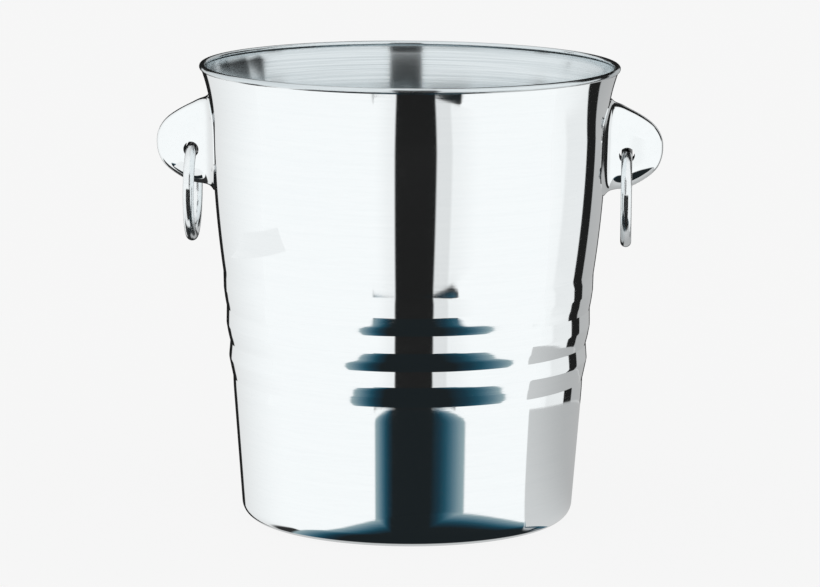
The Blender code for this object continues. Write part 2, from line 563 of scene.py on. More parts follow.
def even(points: Profile, longest: float) -> Profile:
    """A polyline with its long steps divided.

    Args:
        points: the polyline.
        longest: the longest step that may stay.

    Returns:
        The divided polyline.
    """
    made = [points[0]]
    for a, b in zip(points, points[1:]):
        count = max(1, math.ceil((b - a).length / longest))
        made += [a.lerp(b, i / count) for i in range(1, count + 1)]
    return made


def inside(points: Profile, thickness: float) -> Profile:
    """An outline that runs down the outside of a sheet, moved inwards by the sheet's thickness.

    Args:
        points: the outline.
        thickness: the sheet's thickness.

    Returns:
        The moved outline.
    """
    moved = []
    for i, point in enumerate(points):
        before = (point - points[i - 1]).normalized() if i else None
        after = (points[i + 1] - point).normalized() if i + 1 < len(points) else None
        before, after = before or after, after or before
        inward = Vector((before.y + after.y, -before.x - after.x)).normalized()
        moved.append(point + inward * thickness / inward.dot(Vector((before.y, -before.x))))
    return moved


def spline(knots: np.ndarray, steps: int) -> np.ndarray:
    """A natural cubic spline through points, spaced by the square root of their distances.

    Args:
        knots: one point a row.
        steps: how many steps the whole spline takes.

    Returns:
        The points on the spline, one a row, both ends in.
    """
    gaps = np.sqrt(np.linalg.norm(np.diff(knots, axis=0), axis=1))
    at = np.concatenate([[0.0], np.cumsum(gaps)])
    n = len(knots)
    system, right = np.eye(n), np.zeros_like(knots)
    for i in range(1, n - 1):
        system[i, i - 1 : i + 2] = gaps[i - 1], 2.0 * (gaps[i - 1] + gaps[i]), gaps[i]
        slopes = np.diff(knots[i - 1 : i + 2], axis=0) / gaps[i - 1 : i + 1, None]
        right[i] = 6.0 * (slopes[1] - slopes[0])
    bend = np.linalg.solve(system, right)
    t = np.linspace(0.0, at[-1], steps + 1)
    i = np.clip(np.searchsorted(at, t, side="right") - 1, 0, n - 2)
    h, a = gaps[i][:, None], (t - at[i])[:, None]
    b = h - a
    curve = (bend[i] * b**3 + bend[i + 1] * a**3) / (6.0 * h)
    return curve + (knots[i] / h - bend[i] * h / 6.0) * b + (knots[i + 1] / h - bend[i + 1] * h / 6.0) * a


def new_object(name: str, shape: bpy.types.Mesh | bmesh.types.BMesh) -> bpy.types.Object:
    """An object in the scene.

    Args:
        name: the object's name.
        shape: its mesh, or a bmesh, which is freed.

    Returns:
        The object.
    """
    mesh = shape
    if isinstance(shape, bmesh.types.BMesh):
        mesh = bpy.data.meshes.new(name)
        shape.to_mesh(mesh)
        shape.free()
    made = bpy.data.objects.new(name, mesh)
    bpy.context.scene.collection.objects.link(made)
    return made


def loft(name: str, loops: Sequence[Sequence[Vector]], start: Vector, end: Vector) -> bpy.types.Object:
    """A closed skin over loops of the same number of points, with a pole at each end.

    Args:
        name: the object's name.
        loops: the loops, in order.
        start: the pole before the first loop.
        end: the pole after the last loop.

    Returns:
        The object, with its faces pointing out.
    """
    made = bmesh.new()
    rings = [[made.verts.new(p) for p in loop] for loop in loops]
    poles = made.verts.new(start), made.verts.new(end)
    count = len(rings[0])
    for i in range(count):
        j = (i + 1) % count
        made.faces.new((poles[0], rings[0][j], rings[0][i]))
        made.faces.new((poles[1], rings[-1][i], rings[-1][j]))
        for a, b in zip(rings, rings[1:]):
            made.faces.new((a[i], a[j], b[j], b[i]))
    bmesh.ops.recalc_face_normals(made, faces=made.faces)
    return new_object(name, made)


def solid_mesh(obj: bpy.types.Object) -> bpy.types.Object:
    """Replaces an object by one that holds its evaluated mesh, with its place in the mesh.

    Args:
        obj: the object, which is removed.

    Returns:
        The new object, with no modifiers.
    """
    name = obj.name
    evaluated = obj.evaluated_get(bpy.context.evaluated_depsgraph_get())
    mesh = bpy.data.meshes.new_from_object(evaluated)
    mesh.transform(obj.matrix_world)
    bpy.data.objects.remove(obj)
    mesh.name = name
    return new_object(name, mesh)


def cut(obj: bpy.types.Object, cutters: Sequence[bpy.types.Object]) -> bpy.types.Object:
    """Cuts an object with others, and removes them.

    Args:
        obj: the object, which is removed.
        cutters: what is cut away from it.

    Returns:
        The cut object.
    """
    for cutter in cutters:
        boolean = obj.modifiers.new(cutter.name, "BOOLEAN")
        boolean.operation, boolean.solver, boolean.object = "DIFFERENCE", "EXACT", cutter
    bpy.context.view_layer.update()
    made = solid_mesh(obj)
    for cutter in cutters:
        bpy.data.objects.remove(cutter)
    return made


def rod(name: str, radius: float, start: float, end: float, place: Matrix, sides: int) -> bpy.types.Object:
    """A round cutter along the Z of a place.

    Args:
        name: the cutter's name.
        radius: its radius.
        start: where it starts on Z.
        end: where it ends on Z.
        place: its place.
        sides: how many sides it has.

    Returns:
        The cutter.
    """
    made = bmesh.new()
    ends = {"radius1": radius, "radius2": radius, "depth": end - start}
    bmesh.ops.create_cone(made, cap_ends=True, segments=sides, **ends)
    bmesh.ops.translate(made, verts=made.verts, vec=(0.0, 0.0, (start + end) / 2.0))
    bmesh.ops.transform(made, matrix=place, verts=made.verts)
    return new_object(name, made)


def smooth(obj: bpy.types.Object, sharp_degrees: float) -> None:
    """Shades an object smooth, apart from edges sharper than an angle."""
    obj.data.shade_smooth()
    obj.data.set_sharp_from_angle(angle=math.radians(sharp_degrees))


def keep_out_of_reflections(piece: bpy.types.Object) -> None:
    """Leaves the mirror surfaces free of a piece's doubles, which would clutter the plain wall."""
    piece.visible_glossy = False


def hand_over(obj: bpy.types.Object, body: str, slot: str, *nodes: str) -> None:
    """Puts a finished piece on its body, in place of its CAD nodes, and reports it.

    Args:
        obj: the piece.
        body: the body it rides on.
        slot: the name of its material slot; not used.
        nodes: the CAD nodes it stands for.
    """
    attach(obj, body)
    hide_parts(*nodes)
    faces = len(obj.data.polygons)
    log.info("%s: %d faces, rides on %s, stands for %s", obj.name, faces, body, ", ".join(nodes))


# -------------------------------------------------------------- geometry nodes


class GeometryTree(Tree):
    """A Geometry Nodes group with named inputs, which ends in Realize Instances and Set Material."""

    def __init__(self, name: str, inputs: dict[str, str]) -> None:
        """Starts a group.

        Args:
            name: the group's name.
            inputs: socket type by input name, besides the geometry.
        """
        self.tree = bpy.data.node_groups.new(name, "GeometryNodeTree")
        face = self.tree.interface
        face.new_socket("Geometry", in_out="INPUT", socket_type="NodeSocketGeometry")
        for word, kind in inputs.items():
            face.new_socket(word, in_out="INPUT", socket_type=kind)
        face.new_socket("Geometry", in_out="OUTPUT", socket_type="NodeSocketGeometry")
        self.start = self.tree.nodes.new("NodeGroupInput")

    def maths(self, operation: str, *values: Any) -> bpy.types.NodeSocket:
        """The result of a Math node."""
        return self.add("ShaderNodeMath", {"operation": operation}, dict(enumerate(values))).outputs[0]

    def end(self, geometry: bpy.types.NodeSocket, skins: Sequence[tuple[str, Any]]) -> None:
        """Realizes the instances, sets the materials and closes the group.

        Args:
            geometry: what the group has made.
            skins: (name of the material input, selection or None), in the order in which they are laid.
        """
        made = self.add("GeometryNodeRealizeInstances", inputs={"Geometry": geometry}).outputs[0]
        for word, selection in skins:
            inputs = {"Geometry": made, "Material": self.start.outputs[word]}
            if selection is not None:
                inputs["Selection"] = selection
            made = self.add("GeometryNodeSetMaterial", inputs=inputs).outputs[0]
        out = self.tree.nodes.new("NodeGroupOutput")
        self.tree.links.new(made, out.inputs[0])

    def run(self, obj: bpy.types.Object, values: dict[str, Any]) -> bpy.types.Object:
        """Runs the group on an object.

        Args:
            obj: the object that the group starts from. It is used up.
            values: value by input name.

        Returns:
            An object with the plain mesh that the group makes.
        """
        modifier = obj.modifiers.new(self.tree.name, "NODES")
        modifier.node_group = self.tree
        for item in self.tree.interface.items_tree:
            if item.in_out == "INPUT" and item.name in values:
                modifier[item.identifier] = values[item.name]
        obj.update_tag()
        bpy.context.view_layer.update()
        return solid_mesh(obj)


class Lathe(GeometryTree):
    """Turns a profile about Z. The profile is a row of points at (radius, 0, height), down the outer side."""

    MARK = "zone"
    # Points of the seam and the poles closer than this become one.
    MERGE = 0.001 * MM
    # A face is lining where the mean mark of its corners is over this.
    LINING_OVER = 0.6

    def __init__(self) -> None:
        """Builds the group."""
        skins = {"Skin": "NodeSocketMaterial", "Lining Skin": "NodeSocketMaterial"}
        super().__init__("lathe", {"Turn Steps": "NodeSocketInt", **skins})
        profile = self.start.outputs["Geometry"]
        domain = self.add("GeometryNodeAttributeDomainSize", inputs={"Geometry": profile})
        count = domain.outputs["Point Count"]
        turns = self.maths("ADD", self.start.outputs["Turn Steps"], 1)
        size = {"Size X": 1.0, "Size Y": 1.0, "Vertices X": count, "Vertices Y": turns}
        grid = self.add("GeometryNodeMeshGrid", inputs=size).outputs["Mesh"]
        position = self.add("GeometryNodeInputPosition").outputs[0]
        split = self.add("ShaderNodeSeparateXYZ", inputs={0: position})
        along = self.maths("ADD", split.outputs[0], 0.5)
        step = self.maths("ROUND", self.maths("MULTIPLY", along, self.maths("SUBTRACT", count, 1)))
        angle = self.maths("MULTIPLY", self.maths("ADD", split.outputs[1], 0.5), 2.0 * math.pi)
        named = "GeometryNodeInputNamedAttribute", {"data_type": "FLOAT"}, {"Name": self.MARK}
        mark = self.add(*named).outputs[0]
        store = {"data_type": "FLOAT", "domain": "POINT"}
        inputs = {"Geometry": grid, "Name": self.MARK, "Value": self.sample("FLOAT", profile, mark, step)}
        marked = self.add("GeometryNodeStoreNamedAttribute", store, inputs).outputs[0]
        spot = self.sample("FLOAT_VECTOR", profile, position, step)
        point = self.add("ShaderNodeSeparateXYZ", inputs={0: spot})
        x = self.maths("MULTIPLY", point.outputs[0], self.maths("COSINE", angle))
        y = self.maths("MULTIPLY", point.outputs[0], self.maths("SINE", angle))
        place = self.add("ShaderNodeCombineXYZ", inputs={0: x, 1: y, 2: point.outputs[2]}).outputs[0]
        move = {"Geometry": marked, "Position": place}
        turned = self.add("GeometryNodeSetPosition", inputs=move).outputs[0]
        merge = {"Geometry": turned, "Distance": self.MERGE}
        merged = self.add("GeometryNodeMergeByDistance", inputs=merge).outputs[0]
        lining = self.maths("GREATER_THAN", self.add(*named).outputs[0], self.LINING_OVER)
        self.end(merged, [("Skin", None), ("Lining Skin", lining)])

    def sample(self, kind: str, source: Any, value: Any, index: Any) -> bpy.types.NodeSocket:
        """The value of a field at one point of the profile."""
        inputs = {"Geometry": source, "Value": value, "Index": index}
        return self.add("GeometryNodeSampleIndex", {"data_type": kind, "domain": "POINT"}, inputs).outputs[0]

    def turn(
        self,
        name: str,
        profile: Profile,
        steps: int,
        skins: Sequence[bpy.types.Material],
        zones: Sequence[Zone] = (),
    ) -> bpy.types.Object:
        """Turns a profile.

        Args:
            name: the piece's name.
            profile: (radius, height) points. A closed profile repeats its first point.
            steps: steps in the whole turn.
            skins: the material, and the lining's material if there is one.
            zones: which surface each point is on, if there is a lining.

        Returns:
            The piece, with its faces pointing out.
        """
        mesh = bpy.data.meshes.new(name)
        mesh.from_pydata([(p.x, 0.0, p.y) for p in profile], [], [])
        mark = mesh.attributes.new(self.MARK, "FLOAT", "POINT")
        mark.data.foreach_set("value", [z.value for z in zones] or [0.0] * len(profile))
        values = {"Turn Steps": steps, "Skin": skins[0], "Lining Skin": skins[-1]}
        made = self.run(new_object(name, mesh), values)
        work = bmesh.new()
        work.from_mesh(made.data)
        bmesh.ops.dissolve_degenerate(work, dist=1e-7, edges=work.edges)
        bmesh.ops.recalc_face_normals(work, faces=work.faces)
        work.to_mesh(made.data)
        work.free()
        return made


class Fastening(GeometryTree):
    """Puts one fastener at each of a few places, each turned by its own amount about its axis."""

    FACING = "facing"

    def __init__(self) -> None:
        """Builds the group."""
        inputs = {"Fastener": "NodeSocketObject", "Seed": "NodeSocketInt", "Skin": "NodeSocketMaterial"}
        super().__init__("fastening", inputs)
        info = self.add("GeometryNodeObjectInfo", inputs={"Object": self.start.outputs["Fastener"]})
        kind = {"data_type": "FLOAT_VECTOR"}
        facing = self.add("GeometryNodeInputNamedAttribute", kind, {"Name": self.FACING}).outputs[0]
        spin = self.add("FunctionNodeRandomValue", {"data_type": "FLOAT"}, {2: 0.0, 3: math.pi / 2.0})
        self.tree.links.new(self.start.outputs["Seed"], spin.inputs["Seed"])
        about = self.add("ShaderNodeCombineXYZ", inputs={2: spin.outputs[1]}).outputs[0]
        to_rotation = "FunctionNodeEulerToRotation"
        turns = [self.add(to_rotation, inputs={0: vector}).outputs[0] for vector in (facing, about)]
        turned = self.add("FunctionNodeRotateRotation", {"rotation_space": "LOCAL"}, dict(enumerate(turns)))
        places = {
            "Points": self.start.outputs["Geometry"],
            "Instance": info.outputs["Geometry"],
            "Rotation": turned.outputs[0],
        }
        placed = self.add("GeometryNodeInstanceOnPoints", inputs=places).outputs[0]
        self.end(placed, [("Skin", None)])

    def fasten(
        self,
        name: str,
        fastener: bpy.types.Object,
        places: Sequence[Matrix],
        skin: bpy.types.Material,
        seed: int,
    ) -> bpy.types.Object:
        """Puts the fastener at places, and removes the one it copies.

        Args:
            name: the piece's name.
            fastener: one fastener about Z.
            places: where each one goes.
            skin: its material.
            seed: the seed of the turns.

        Returns:
            The piece, with all the fasteners.
        """
        mesh = bpy.data.meshes.new(name)
        mesh.from_pydata([p.translation for p in places], [], [])
        facing = mesh.attributes.new(self.FACING, "FLOAT_VECTOR", "POINT")
        facing.data.foreach_set("vector", [a for p in places for a in p.to_euler()])
        made = self.run(new_object(name, mesh), {"Fastener": fastener, "Seed": seed, "Skin": skin})
        bpy.data.objects.remove(fastener)
        return made


# ---------------------------------------------------------------- sub-assemblies


@dataclass
class Shell:
    """The spun shell: lip, flared neck, barrel wall, three beads, lower wall and base."""

    lathe: Lathe
    sheet: float = 0.9 * MM
    lip_radius: float = 1.4 * MM
    neck_top: Vector = field(default_factory=lambda: Vector((98.96, 215.25)) * MM)
    wall_top: Vector = field(default_factory=lambda: Vector((93.9, 187.0)) * MM)
    beads_top: Vector = field(default_factory=lambda: Vector((88.45, 118.6)) * MM)
    neck_bulge: float = -1.2 * MM
    wall_bulge: float = 1.1 * MM
    # (radius, height, corner radius), in millimetres. Each bead has a crest, a bend in its underside and a
    # notch. The lower wall and the base follow.
    lower_corners: tuple[tuple[float, float, float], ...] = (
        (88.25, 110.7, 5.0),
        (87.60, 106.0, 32.0),
        (86.85, 101.9, 0.5),
        (86.95, 93.8, 5.0),
        (86.11, 89.1, 32.0),
        (85.10, 84.9, 0.5),
        (85.68, 77.6, 5.0),
        (84.68, 72.6, 32.0),
        (83.70, 68.0, 0.5),
        (83.60, 64.0, 150.0),
        (78.72, 0.0, 7.4),
        (58.0, 0.0, 2.5),
        (52.0, 3.0, 4.0),
        (0.0, 3.0, 0.0),
    )
    turn_steps: int = 192
    longest_step: float = 1.8 * MM
    neck_steps: int = 16
    wall_steps: int = 40
    hole_radius: float = 2.8 * MM
    hole_sides: int = 32
    # The lip's arc, in degrees, from the lining over the top to the neck.
    lip_arc: tuple[float, float] = (225.0, -75.0)
    lip_steps: int = 22
    sharp: float = 24.0
    # The share of the lip, from inside, that the brushing of the lining runs over.
    lip_share: float = 0.86
    outline: Profile = field(init=False)

    def __post_init__(self) -> None:
        """Works the outside of the sheet out, from below the lip to the middle of the base."""
        neck = bowed(self.neck_top, self.wall_top, self.neck_bulge, self.neck_steps)
        wall = bowed(self.wall_top, self.beads_top, self.wall_bulge, self.wall_steps)
        top = (self.beads_top.x / MM, self.beads_top.y / MM, 0.0)
        self.outline = neck + wall[1:-1] + even(rounded((top, *self.lower_corners)), self.longest_step)

    def at(self, height: float) -> tuple[float, float]:
        """The outside radius, and the slope of radius over height, at a height.

        Args:
            height: the height.

        Returns:
            The radius and the slope.
        """
        for upper, lower in zip(self.outline, self.outline[1:]):
            if lower.y <= height <= upper.y:
                slope = (upper.x - lower.x) / (upper.y - lower.y)
                return lower.x + slope * (height - lower.y), slope
        raise ValueError(f"no wall at {height}")

    def square_to(self, height: float) -> Matrix:
        """A place on +X at the wall's outside, with Z square to the wall, outwards.

        Args:
            height: the height.

        Returns:
            The place.
        """
        radius, slope = self.at(height)
        lean = Matrix.Rotation(math.pi / 2.0 + math.atan(slope), 4, "Y")
        return Matrix.Translation((radius, 0.0, height)) @ lean

    def screw_places(self) -> list[Matrix]:
        """The places of the four screws, side by side and from the lower to the upper."""
        return [side.turn @ self.square_to(level.value) for side in Side for level in Level]

    def build(self, outside: bpy.types.Material, lining: bpy.types.Material) -> None:
        """Turns the shell, and drills it for the screws.

        Args:
            outside: the material of the outside.
            lining: that of the lining.
        """
        low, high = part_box("bucket_shell")
        lip_centre = Vector(((high[0] - low[0]) / 2.0 - self.lip_radius, high[2] - self.lip_radius))
        start, end = (math.radians(angle) for angle in self.lip_arc)
        lip = arc(lip_centre, self.lip_radius, start, end, self.lip_steps)
        inner = inside(self.outline, self.sheet)[::-1][:-1]
        inner[0].x = 0.0
        profile = inner + lip + self.outline[1:]
        brushed = len(inner) + round(len(lip) * self.lip_share)
        zones = [Zone.LINING] * brushed + [Zone.OUTSIDE] * (len(profile) - brushed)
        skins = outside, lining
        shell = self.lathe.turn("bucket_shell_fine", profile, self.turn_steps, skins, zones)
        drills = [
            rod(f"drill_{i}", self.hole_radius, -4.0 * MM, 3.0 * MM, place, self.hole_sides)
            for i, place in enumerate(self.screw_places())
        ]
        shell = cut(shell, drills)
        smooth(shell, self.sharp)
        hand_over(shell, "bucket", "polished_sheet", "bucket_shell")


@dataclass
class Ear:
    """A cast ear, lofted from a round foot on the wall to a rounded tip, with a cross-hole for its ring."""

    shell: Shell
    hole: Vector
    hole_radius: float = 3.75 * MM
    wall_radius: float = 93.6 * MM
    clearance: float = 0.02 * MM
    straightens: float = 12.0 * MM
    squareness: float = 2.4
    sides: int = 144
    steps: int = 120
    # Steps of the flat back, as shares of its size.
    back_shares: tuple[float, ...] = (0.25, 0.5, 0.75, 1.0)
    # Spline points flatter than this are left out at the tip.
    flattest: float = 0.02 * MM
    hole_sides: int = 96
    hole_reach: float = 30.0 * MM
    screw_hole_radius: float = 2.7 * MM
    screw_hole_sides: int = 32
    # Where a screw hole starts and ends, from the wall's outside, outwards.
    screw_hole: tuple[float, float] = (-5.0 * MM, 9.6 * MM)
    # Faces with every corner within this many hole radii of the hole's axis are the bore's.
    bore_reach: float = 1.01
    sharp: float = 40.0
    # Stations from the wall outwards: (reach beyond the wall, top, bottom, half thickness), in millimetres.
    stations: tuple[tuple[float, float, float, float], ...] = (
        (0.5, 202.3, 156.4, 22.0),
        (1.0, 201.9, 157.0, 18.2),
        (1.6, 201.5, 157.7, 15.2),
        (2.6, 201.0, 158.5, 12.6),
        (4.2, 200.5, 159.1, 10.7),
        (6.6, 199.8, 159.5, 9.3),
        (10.0, 198.3, 160.1, 8.1),
        (14.0, 196.3, 161.8, 7.4),
        (18.4, 193.7, 164.4, 6.8),
        (22.6, 190.4, 167.7, 5.7),
        (25.2, 186.9, 171.3, 4.4),
        (26.6, 183.4, 175.4, 2.6),
        (26.99, 179.4, 179.4, 0.0),
    )

    def loop(self, reach: float, top: float, bottom: float, half: float) -> list[Vector]:
        """The points of a station, in metres: a superellipse that bends round the wall near it.

        Args:
            reach: how far the station stands out from the wall.
            top: its top.
            bottom: its bottom.
            half: half its thickness.

        Returns:
            The points.
        """
        points = []
        near = max(0.0, 1.0 - max(0.0, reach) / self.straightens)
        follow = near * near * (3.0 - 2.0 * near)
        for i in range(self.sides):
            turn = 2.0 * math.pi * i / self.sides
            power = 2.0 / self.squareness
            across, up = (math.copysign(abs(v) ** power, v) for v in (math.cos(turn), math.sin(turn)))
            y, z = half * across, (top + bottom) / 2.0 + (top - bottom) / 2.0 * up
            wall = math.sqrt(self.shell.at(z)[0] ** 2 - y * y)
            points.append(Vector((self.wall_radius + reach + follow * (wall - self.wall_radius), y, z)))
        return points

    def build(self, side: Side, skin: bpy.types.Material, bore_skin: bpy.types.Material) -> None:
        """Lofts the ear of one side and drills it. The bore's faces get a near-black material, which is
        painted shade inside the hole.

        Args:
            side: the side.
            skin: the casting's material.
            bore_skin: the bore's near-black material, which paints shade into the hole.
        """
        knots = np.array(self.stations) * MM
        turned_back = knots[-2] * (1.0, 1.0, 1.0, -1.0)
        turned_back[1:3] = turned_back[2], turned_back[1]
        path = spline(np.vstack([knots, turned_back]), self.steps)
        path = path[path[:, 3] > self.flattest]
        foot = knots[0]
        middle = (foot[1] + foot[2]) / 2.0
        loops = []
        for share in self.back_shares:
            rise = (foot[1] - foot[2]) / 2.0 * share
            loops.append(self.loop(self.clearance, middle + rise, middle - rise, foot[3] * share))
        loops += [self.loop(*station) for station in path]
        back = Vector((self.shell.at(middle)[0] + self.clearance, 0.0, middle))
        tip = Vector((self.wall_radius + knots[-1][0], 0.0, knots[-1][1]))
        ear = loft(f"{side.word}_ear_fine", loops, back, tip)
        ear.data.transform(side.turn)
        across = side.turn @ Matrix.Translation(self.hole) @ Matrix.Rotation(math.pi / 2.0, 4, "X")
        reach = self.hole_reach
        drills = [rod("ring_drill", self.hole_radius, -reach, reach, across, self.hole_sides)]
        for level in Level:
            place = side.turn @ self.shell.square_to(level.value)
            size = self.screw_hole_radius, *self.screw_hole
            drills.append(rod(f"{level.name}_drill", *size, place, self.screw_hole_sides))
        ear = cut(ear, drills)
        ear.data.materials.clear()
        for material in (skin, bore_skin):
            ear.data.materials.append(material)
        axis = side.turn @ self.hole
        # The bore's faces take the near-black material that paints the hole's shade.
        for face in ear.data.polygons:
            corners = [ear.data.vertices[i].co - axis for i in face.vertices]
            bore = self.hole_radius * self.bore_reach
            face.material_index = int(all(math.hypot(c.x, c.z) < bore for c in corners))
        smooth(ear, self.sharp)
        keep_out_of_reflections(ear)
        hand_over(ear, "bucket", "polished_casting", f"{side.word}_ear")


@dataclass
class Ring:
    """A closed ring of round wire, hanging in an ear."""

    lathe: Lathe
    wire_radius: float = 2.6 * MM
    turn_steps: int = 192
    wire_steps: int = 40
    sharp: float = 60.0

    def build(self, side: Side, skin: bpy.types.Material) -> None:
        """Turns the ring of one side and hangs it where the CAD ring hangs.

        Args:
            side: the side.
            skin: its material.
        """
        node = f"{side.word}_ring"
        low, high = (Vector(corner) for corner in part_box(node))
        radius = (high.z - low.z) / 2.0 - self.wire_radius
        section = arc(Vector((radius, 0.0)), self.wire_radius, math.pi, -math.pi, self.wire_steps)
        section[-1] = section[0].copy()
        ring = self.lathe.turn(f"{node}_fine", section, self.turn_steps, (skin,))
        stand = Matrix.Rotation(math.pi / 2.0, 4, "Y")
        ring.data.transform(Matrix.Translation((low + high) / 2.0) @ stand)
        smooth(ring, self.sharp)
        keep_out_of_reflections(ring)
        hand_over(ring, node, "polished_wire", node)


@dataclass
class Fasteners:
    """The pan-head screws that hold the ears from inside, and their sealing washers.

    Places along a fastener's axis are measured from the wall's outside, outwards.
    """

    lathe: Lathe
    shell: Shell
    washer_face: float = -1.35 * MM
    washer_thickness: float = 1.0 * MM
    washer_radius: float = 5.0 * MM
    shank_radius: float = 2.4 * MM
    shank_tip: float = 9.0 * MM
    head_radius: float = 4.6 * MM
    head_thickness: float = 2.6 * MM
    thread_pitch: float = 0.8 * MM
    thread_depth: float = 0.35 * MM
    gap: float = 0.3 * MM
    head_round: float = 1.6 * MM
    point: float = 0.8 * MM
    # The thread ends this far from the wall's outside.
    thread_end: float = 0.5 * MM
    # The cross recess: its blades' radius at the mouth and at the bottom, depth, and width over length.
    recess: tuple[float, float, float, float] = (3.2 * MM, 1.6 * MM, 4.0 * MM, 0.24)
    # The washer's rounded edge, in millimetres.
    washer_edge: float = 0.25
    steps: int = 64

    def screw(self, skin: bpy.types.Material) -> bpy.types.Object:
        """One screw along Z, its shank towards +Z, with rings for its thread and a cross recess.

        Args:
            skin: its material.

        Returns:
            The screw.
        """
        face = self.washer_face - self.washer_thickness - self.gap
        back, root = face - self.head_thickness, self.shank_radius - self.thread_depth
        points = [Vector((0.0, self.shank_tip)), Vector((self.shank_radius - self.point, self.shank_tip))]
        height = self.shank_tip - self.point
        while height > self.thread_end:
            points += [Vector((self.shank_radius, height)), Vector((root, height - self.thread_pitch / 2.0))]
            height -= self.thread_pitch
        points += [Vector((root, face)), Vector((self.head_radius, face))]
        turned = self.head_round
        points += arc(Vector((self.head_radius - turned, back + turned)), turned, 0.0, -math.pi / 2.0, 8)
        points.append(Vector((0.0, back)))
        screw = self.lathe.turn("screw", points, self.steps, (skin,))
        blades = [self.blade(f"blade_{i}", back, turn) for i, turn in enumerate((0.0, math.pi / 2.0))]
        screw = cut(screw, blades)
        smooth(screw, 32.0)
        return screw

    def blade(self, name: str, back: float, turn: float) -> bpy.types.Object:
        """The cutter for one arm of the cross recess.

        Args:
            name: the cutter's name.
            back: the height of the head's back.
            turn: how far the arm is turned about Z.

        Returns:
            The cutter.
        """
        mouth, bottom, depth, narrowness = self.recess
        made = bmesh.new()
        sizes = {"radius1": mouth, "radius2": bottom, "depth": depth}
        bmesh.ops.create_cone(made, cap_ends=True, segments=4, **sizes)
        bmesh.ops.rotate(made, verts=made.verts, matrix=Matrix.Rotation(math.pi / 4.0, 3, "Z"))
        bmesh.ops.scale(made, verts=made.verts, vec=(1.0, narrowness, 1.0))
        place = Matrix.Translation((0.0, 0.0, back)) @ Matrix.Rotation(turn, 4, "Z")
        bmesh.ops.transform(made, verts=made.verts, matrix=place)
        return new_object(name, made)

    def washer(self, skin: bpy.types.Material) -> bpy.types.Object:
        """One washer about Z, with rounded edges.

        Args:
            skin: its material.

        Returns:
            The washer.
        """
        low, high = self.washer_face - self.washer_thickness, self.washer_face
        bore, edge = self.shank_radius + self.gap, self.washer_edge
        corners = [(bore, low), (bore, high), (self.washer_radius, high), (self.washer_radius, low)]
        loop = [(c[0] / MM, c[1] / MM, edge) for c in corners]
        start = (bore / MM, (low + high) / 2.0 / MM, 0.0)
        profile = rounded([start, *loop[1:], loop[0], start], 30.0)
        washer = self.lathe.turn("washer", profile, self.steps, (skin,))
        smooth(washer, 50.0)
        return washer

    def build(self, steel: bpy.types.Material, silicone: bpy.types.Material) -> None:
        """Puts the screws and washers in both ears.

        Args:
            steel: the screws' material.
            silicone: the washers' material.
        """
        fastening = Fastening()
        spots = [f"{side.word}_{level.name.lower()}" for side in Side for level in Level]
        kinds = (
            ("screw", self.screw(steel), steel, "screw_steel"),
            ("washer", self.washer(silicone), silicone, "silicone"),
        )
        for seed, (word, source, skin, slot) in enumerate(kinds):
            piece = fastening.fasten(f"ear_{word}s", source, self.shell.screw_places(), skin, seed)
            hand_over(piece, "bucket", slot, *[f"{spot}_{word}" for spot in spots])


# ---------------------------------------------------------------------- studio


WHITE, BLACK = 1.02, 0.014
# A band of degrees: (from, to, softness of its edges). An end at OPEN or -OPEN never comes.
Band = tuple[float, float, float]
OPEN = 1000.0
# (how much darker or lighter, from, to), in degrees.
Shade = tuple[float, float, float]


@dataclass(frozen=True)
class Patch:
    """A part of the tent with a brightness of its own, between two bearings and between two rises."""

    level: float
    bearings: Band
    rises: Band


